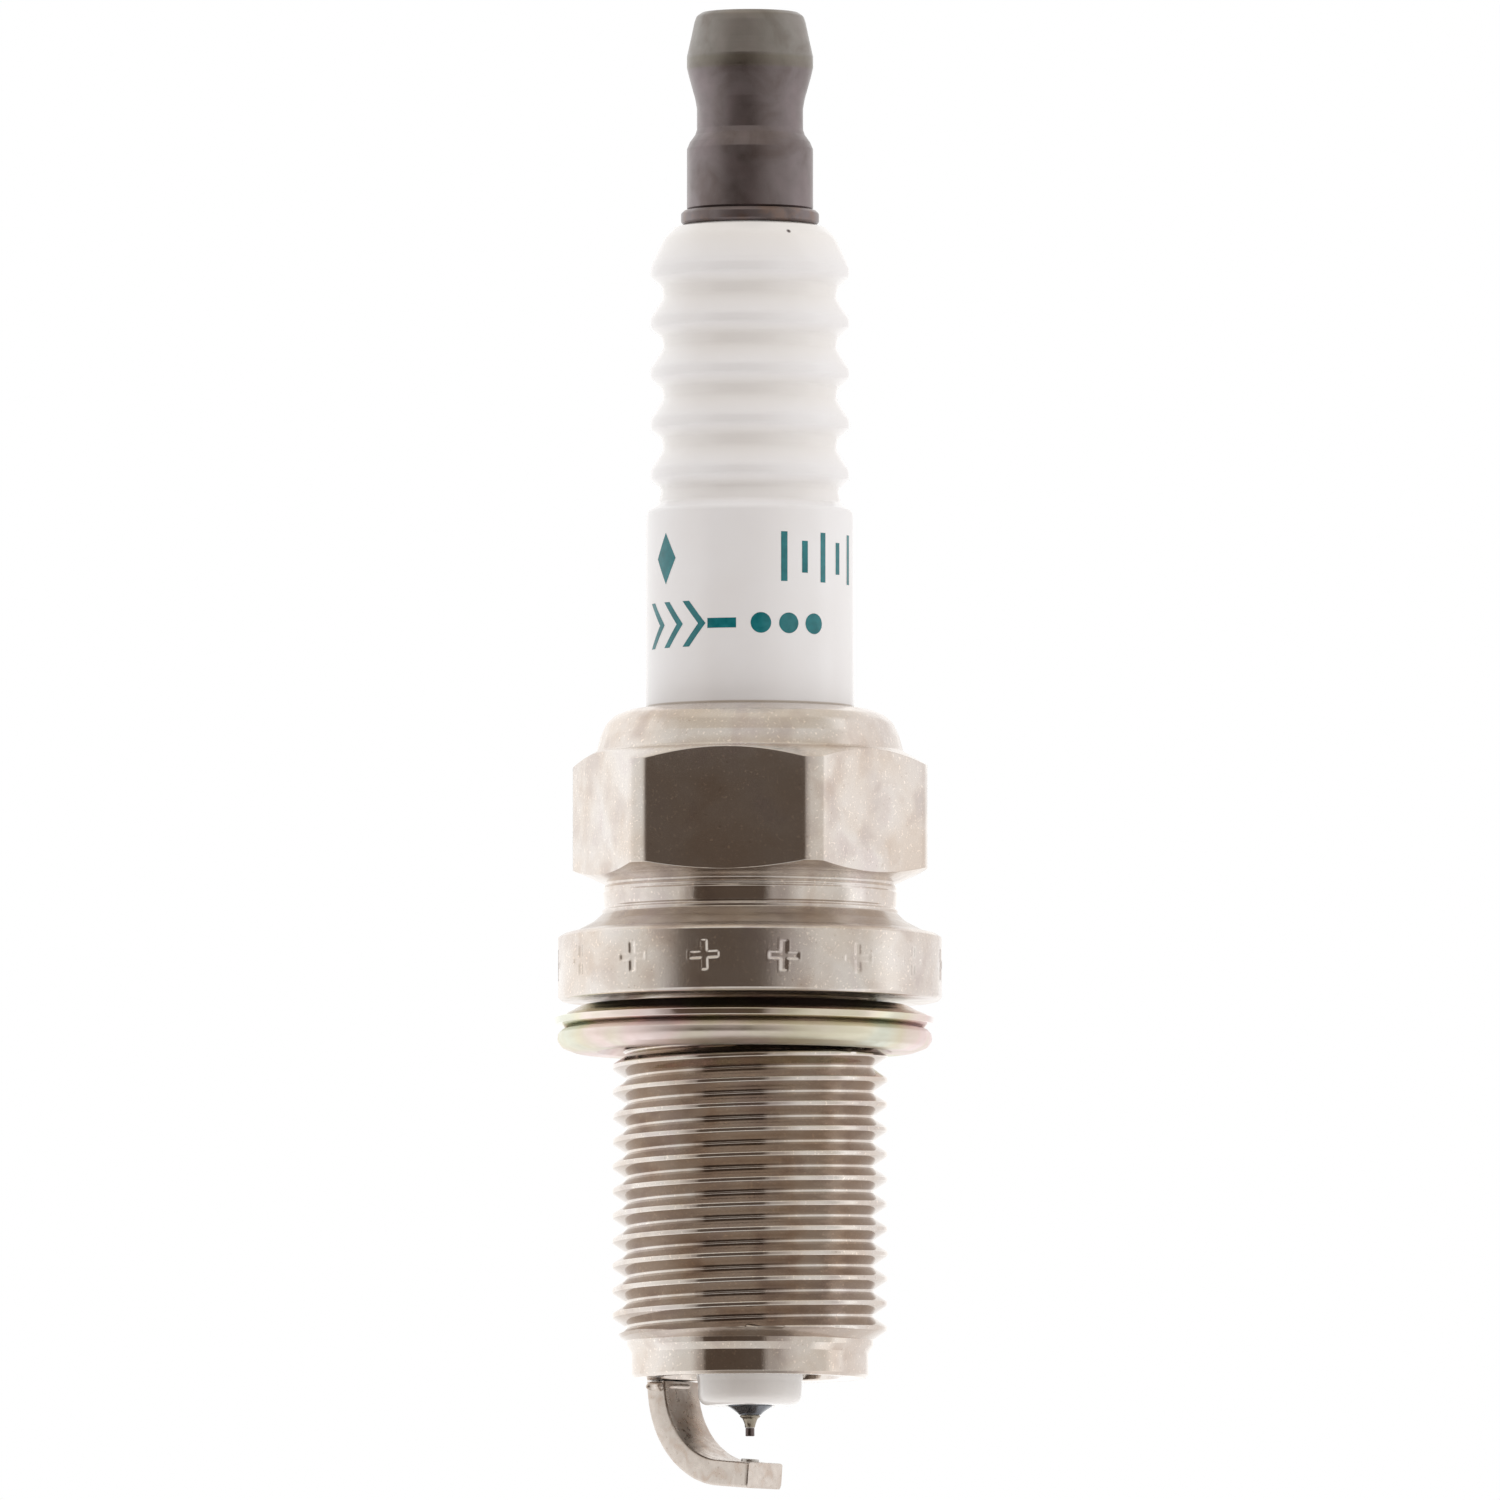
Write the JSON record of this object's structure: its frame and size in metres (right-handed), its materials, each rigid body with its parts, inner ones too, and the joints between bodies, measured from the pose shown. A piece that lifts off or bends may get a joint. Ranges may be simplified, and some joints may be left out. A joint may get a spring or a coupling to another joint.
{
  "type": "spark plug",
  "caption": "Resistor spark plug with ribbed ceramic insulator, hexagonal steel shell, captive crush gasket, threaded reach, fine-wire tip, bent ground strap and screw-on terminal.",
  "frame": {"origin": "on the plug's axis, in the plane of the shell's gasket seat (the underside of the flange)", "axes": "+Z along the axis to the terminal, -Z to the firing end; -Y is the front that shows a hexagon flat, turned 9.1 degrees towards -X"},
  "size_m": [0.0195, 0.0192, 0.0744],
  "materials": {
    "terminal_steel": "satin",
    "glazed_alumina": "gloss",
    "nickel_plate": "satin",
    "zinc_chromate": "satin",
    "nickel_alloy": "satin",
    "precious_metal": "satin",
    "conductive_glass": "satin",
    "resistor_mix": "matte",
    "copper": "satin",
    "talc": "matte",
    "packing_steel": "satin"
  },
  "bodies": {
    "plug": {"terminal_stud": "terminal_steel", "ceramic_insulator": "glazed_alumina", "upper_glass_seal": "conductive_glass", "resistor_core": "resistor_mix", "lower_glass_seal": "conductive_glass", "centre_electrode": "nickel_alloy", "copper_core": "copper", "tip_weld": "nickel_alloy", "iridium_tip": "precious_metal", "metal_shell": "nickel_plate", "upper_packing_ring": "packing_steel", "talc_packing": "talc", "lower_packing_ring": "packing_steel", "seat_washer": "packing_steel", "ground_electrode": "nickel_alloy", "platinum_pad": "precious_metal"},
    "nut": {"terminal_nut": "terminal_steel"},
    "gasket": {"crush_gasket": "zinc_chromate"}
  },
  "joints": [
    {"name": "nut_unscrew", "type": "slide", "parent": "plug", "child": "nut", "axis": [0, 0, 1], "range_m": [0, 0.007]},
    {"name": "gasket_spin", "type": "hinge", "parent": "plug", "child": "gasket", "pos_m": [-0.00028, 0, -0.0014], "axis": [0, 0, 1], "continuous": true}
  ]
}
